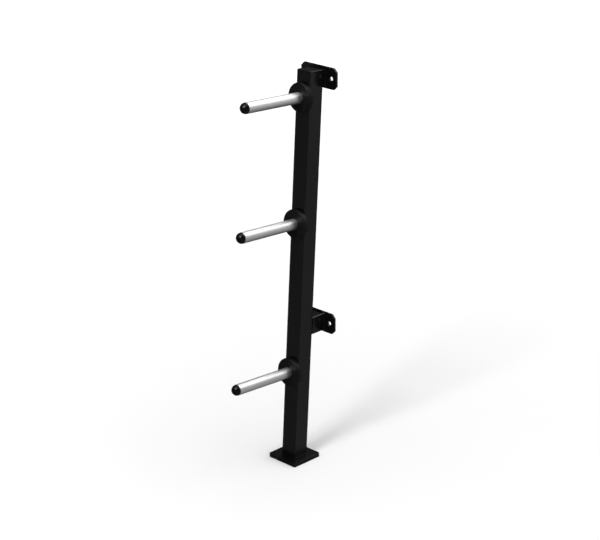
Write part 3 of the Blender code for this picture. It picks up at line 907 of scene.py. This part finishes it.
def bolt_grid(sizes, origin, around=144):
    """A hexagon bolt: its turned profile's radius, or its hexagon's where that is less.

    The hexagon's radius at angle t is half its flats over cos(t mod 60 - 30 degrees).
    """
    radius, corners = sizes.bolt / 2, sizes.bolt_corners / 2
    under = -TUBE - sizes.washer_t - 2 * SEAT
    end = under - sizes.bolt_head
    bevel = corners - sizes.bolt_flats / 2
    slope = bevel * math.tan(math.radians(30))
    point = radius / 4
    shape = np.array([(0.0, sizes.bolt_engagement), (radius - point, sizes.bolt_engagement),
                      (radius, sizes.bolt_engagement - point), (radius, under), (corners, under)])
    share, rim = np.linspace(0, 1, 7)[:, None], 1 * MM
    chamfer = (corners, end + slope) * (1 - share) + (corners - bevel, end) * share
    face = [(corners - bevel - rim, end), (0.0, end)]
    profile = np.concatenate([shape, chamfer, face])
    t = np.linspace(0, 2 * math.pi, around + 1)
    hexagon = sizes.bolt_flats / 2 / np.cos((t % (math.pi / 3)) - math.pi / 6)
    return round_peg(origin, np.minimum(profile[:, :1], hexagon), profile[:, 1:], t)


class PLATEHOLDER_OT_fasteners(Operator):
    """Build the bolts and washers behind the upright and finish the bosses in the pegs"""
    bl_idname = "plate_holder.fasteners"
    bl_label = "Bolts and Washers"

    def execute(self, context):
        sizes = context.scene.plate_holder_pegs
        clearance, rounding = 0.5 * MM, 0.3 * MM
        bore, outer = sizes.bolt / 2 + clearance, sizes.washer / 2
        front, rear = -TUBE - SEAT, -TUBE - SEAT - sizes.washer_t
        washer = np.concatenate([
            [(bore, front)], arc(outer - rounding, front - rounding, rounding, 90, 0, 3),
            arc(outer - rounding, rear + rounding, rounding, 0, -90, 3),
            [(bore, rear), (bore, front)]])
        for position in POSITIONS:
            root = peg_root(position)
            node = position + "_peg_bolt"
            piece(surface(node + "_skin", bolt_grid(sizes, root)), "zinc_plated_steel", node)
            node = position + "_peg_washer"
            piece(turned(node + "_skin", washer, root), "zinc_plated_steel", node)
            for slot in frame["nodes"][position + "_peg_boss"].material_slots:
                slot.material = finish_for("zinc_plated_steel")
        return {"FINISHED"}


# Stage

def area_light(name, location, target, size, power):
    """A flat lamp that faces a point and that the camera doesn't see."""
    data = bpy.data.lights.new(name, "AREA")
    data.shape, data.size, data.size_y = "RECTANGLE", *size
    data.energy = power
    lamp = bpy.data.objects.new(name, data)
    bpy.context.scene.collection.objects.link(lamp)
    lamp.location = location
    lamp.rotation_euler = (target - lamp.location).to_track_quat("-Z", "Y").to_euler()
    lamp.visible_camera = False
    return lamp


class PLATEHOLDER_OT_stage(Operator):
    """Build the floor, the lamps, the surround and the camera"""
    bl_idname = "plate_holder.stage"
    bl_label = "Stage"

    def execute(self, context):
        stage = context.scene.plate_holder_stage
        steps = np.linspace(-stage.floor_size / 2, stage.floor_size / 2, 3)
        x, y = np.meshgrid(steps, steps)
        floor = surface("studio_floor", np.stack([x, y, np.full_like(x, -FLOOR_GAP)], axis=-1))
        floor.data.materials.append(studio_paper(stage))

        # The soft boxes show in metal and gloss alone. Matt surfaces have the surround's even
        # light and the shadow light, far off in front
        target = Vector((0.0, 0.0, 0.55))
        for name, (place, sides, setting) in SOFT_BOXES.items():
            lamp = area_light(name, place, target, sides, getattr(stage, setting))
            lamp.visible_diffuse = False
        shade = area_light("shadow_light", SHADOW_LIGHT_PLACE, target, SHADOW_LIGHT_SIDES,
                           stage.shadow_power)
        shade.visible_glossy = False

        world = bpy.data.worlds.new("studio_surround")
        context.scene.world = world
        world.use_nodes = True
        tree = world.node_tree
        tree.nodes.clear()
        path = add_node(tree, "ShaderNodeLightPath")
        gloss = add_node(tree, "ShaderNodeMath", {0: path.outputs["Is Glossy Ray"],
                                                  1: path.outputs["Is Transmission Ray"]},
                         operation="MAXIMUM")
        place = add_node(tree, "ShaderNodeTexCoord").outputs["Generated"]
        right = add_node(tree, "ShaderNodeVectorMath", {0: place, 1: RIGHT_SIDE},
                         operation="DOT_PRODUCT")
        slope = stage.ambient * stage.ambient_slope
        even = add_node(tree, "ShaderNodeMapRange", {"Value": right.outputs["Value"],
                                                     "From Min": -1.0,
                                                     "To Min": stage.ambient - slope,
                                                     "To Max": stage.ambient + slope})
        dim = add_node(tree, "ShaderNodeMapRange", {"Value": gloss.outputs[0],
                                                    "To Min": even.outputs["Result"],
                                                    "To Max": stage.surround})
        level = add_node(tree, "ShaderNodeMapRange", {"Value": path.outputs["Is Camera Ray"],
                                                      "To Min": dim.outputs["Result"],
                                                      "To Max": 1.0})
        back = add_node(tree, "ShaderNodeBackground", {"Color": (1.0, 1.0, 1.0, 1.0),
                                                       "Strength": level.outputs["Result"]})
        add_node(tree, "ShaderNodeOutputWorld", {"Surface": back.outputs[0]})

        data = bpy.data.cameras.new("photo_camera")
        data.lens = stage.lens
        data.shift_x, data.shift_y = CAMERA_SHIFT
        camera = bpy.data.objects.new("photo_camera", data)
        context.scene.collection.objects.link(camera)
        camera.location = CAMERA_PLACE
        camera.rotation_euler = (math.radians(90 - CAMERA_ELEVATION), 0.0,
                                 math.radians(CAMERA_AZIMUTH))
        context.scene.camera = camera
        context.scene.view_settings.view_transform = "Standard"
        return {"FINISHED"}


OPERATORS = (
    PLATEHOLDER_OT_upright,
    PLATEHOLDER_OT_foot_plate,
    PLATEHOLDER_OT_wall_plates,
    PLATEHOLDER_OT_spacers,
    PLATEHOLDER_OT_welds,
    PLATEHOLDER_OT_peg_tubes,
    PLATEHOLDER_OT_bumpers,
    PLATEHOLDER_OT_end_caps,
    PLATEHOLDER_OT_fasteners,
    PLATEHOLDER_OT_stage,
)

SETTINGS = {
    "plate_holder_frame": PlateHolderFrameSizes,
    "plate_holder_pegs": PlateHolderPegSizes,
    "plate_holder_finishes": PlateHolderFinishes,
    "plate_holder_stage": PlateHolderStage,
}


class PLATEHOLDER_PT_sidebar(Panel):
    """Sizes, finishes and steps of the plate holder"""
    bl_label = "Plate Holder"
    bl_idname = "PLATEHOLDER_PT_sidebar"
    bl_space_type = "VIEW_3D"
    bl_region_type = "UI"
    bl_category = "Plate Holder"

    def draw(self, context):
        for name, group in SETTINGS.items():
            box = self.layout.box()
            for field in group.__annotations__:
                box.prop(getattr(context.scene, name), field)
        for operator in OPERATORS:
            self.layout.operator(operator.bl_idname)


def register():
    for name, group in SETTINGS.items():
        bpy.utils.register_class(group)
        setattr(bpy.types.Scene, name, PointerProperty(type=group))
    for cls in (*OPERATORS, PLATEHOLDER_PT_sidebar):
        bpy.utils.register_class(cls)


def unregister():
    for cls in reversed((*OPERATORS, PLATEHOLDER_PT_sidebar)):
        bpy.utils.unregister_class(cls)
    for name, group in SETTINGS.items():
        delattr(bpy.types.Scene, name)
        bpy.utils.unregister_class(group)


def main():
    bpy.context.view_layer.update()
    register()
    for operator in OPERATORS:
        group, name = operator.bl_idname.split(".")
        getattr(getattr(bpy.ops, group), name)()


if __name__ == "__main__":
    main()
